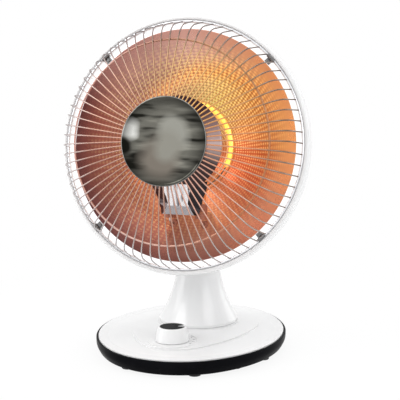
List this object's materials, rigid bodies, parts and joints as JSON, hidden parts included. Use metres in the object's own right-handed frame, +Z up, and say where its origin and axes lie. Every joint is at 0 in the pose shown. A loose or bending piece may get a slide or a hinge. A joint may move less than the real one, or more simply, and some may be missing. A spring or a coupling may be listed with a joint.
{
  "type": "tabletop carbon heater",
  "caption": "Tabletop carbon heater: round dish behind a domed wire guard, ring-shaped carbon lamp, tilting head on a swinging neck, oval base with a rotary knob.",
  "frame": {"origin": "Middle of the base's oval, on the floor under the rubber feet, with the swing and the tilt at rest.", "axes": "+Z is up. The heater faces -Y, so the knob is at the front, toward -Y. +X is to the right of someone who looks at its face."},
  "size_m": [0.286, 0.2587, 0.3783],
  "materials": {
    "white_plastic": "glossy moulded ABS",
    "black_plastic": "semi-gloss moulded ABS",
    "bearing_plastic": "moulded acetal",
    "switch_plastic": "moulded phenolic",
    "foot_rubber": "matt",
    "polished_sheet": "mirror polished sheet",
    "dull_sheet": "plated sheet",
    "guard_chrome": "bright plated",
    "bright_steel": "zinc plated",
    "dull_steel": "dark plated",
    "lamp_glass": "clear quartz",
    "lamp_ceramic": "unglazed",
    "lamp_glow": "glowing carbon"
  },
  "bodies": {
    "base": {"base_pan": "black_plastic", "base_cover": "white_plastic", "rubber_feet": "foot_rubber", "base_screws": "bright_steel", "ballast_ring": "dull_steel", "rotary_switch": "switch_plastic", "switch_nut": "bright_steel", "tip_switch": "switch_plastic", "cord_gland": "black_plastic", "swing_motor": "bright_steel", "motor_screws": "bright_steel", "thrust_washer": "bearing_plastic", "snap_ring": "dull_steel"},
    "knob_body": {"knob": "white_plastic", "knob_cap": "black_plastic", "switch_shaft": "bright_steel"},
    "plunger_body": {"tip_plunger": "bearing_plastic"},
    "crank_body": {"swing_crank": "bearing_plastic"},
    "neck_body": {"turntable": "bearing_plastic", "neck_screws": "bright_steel", "neck_column": "white_plastic"},
    "head_body": {"rear_housing": "white_plastic", "housing_screws": "bright_steel", "front_rim": "white_plastic", "reflector": "polished_sheet", "heat_shield": "dull_sheet", "shield_spacers": "dull_sheet", "shield_screws": "bright_steel", "shield_nuts": "bright_steel", "thermal_cutout": "switch_plastic", "terminal_block": "lamp_ceramic", "guard_ring": "guard_chrome", "guard_wires": "guard_chrome", "middle_ring": "guard_chrome", "guard_hub": "guard_chrome", "centre_disc": "guard_chrome", "guard_clips": "dull_steel", "clip_screws": "dull_steel", "hood": "polished_sheet", "hood_stay": "dull_sheet", "hood_screws": "bright_steel", "lead_cover": "dull_sheet", "lamp_bracket": "dull_sheet", "lamp_tube": "lamp_glass", "lamp_filament": "lamp_glow", "lamp_caps": "lamp_ceramic", "lead_bushings": "lamp_ceramic", "lamp_leads": "bright_steel", "tilt_bolt": "bright_steel", "tilt_nut": "bright_steel", "tilt_washers": "dull_steel"}
  },
  "joints": [
    {"name": "neck_swing", "type": "hinge", "parent": "base", "child": "neck_body", "pos_m": [0, 0.0234, 0.03], "axis": [0, 0, 1], "range_deg": [-22.5, 22.5]},
    {"name": "head_tilt", "type": "hinge", "parent": "neck_body", "child": "head_body", "pos_m": [0, 0.0287, 0.1314], "axis": [1, 0, 0], "range_deg": [-12, 15]},
    {"name": "knob_turn", "type": "hinge", "parent": "base", "child": "knob_body", "pos_m": [0, -0.0666, 0.03], "axis": [0, 0, 1], "range_deg": [-120, 60]},
    {"name": "crank_turn", "type": "hinge", "parent": "base", "child": "crank_body", "pos_m": [0, -0.0026, 0.025], "axis": [0, 0, 1], "range_deg": [-90, 90]},
    {"name": "plunger_slide", "type": "slide", "parent": "base", "child": "plunger_body", "axis": [0, 0, -1], "range_m": [0, 0.004], "stiffness_N_per_m": 60, "springref_m": 0.004}
  ],
  "couplings": [
    {"joint": "crank_turn", "follows": "neck_swing", "ratio": 3.7}
  ]
}
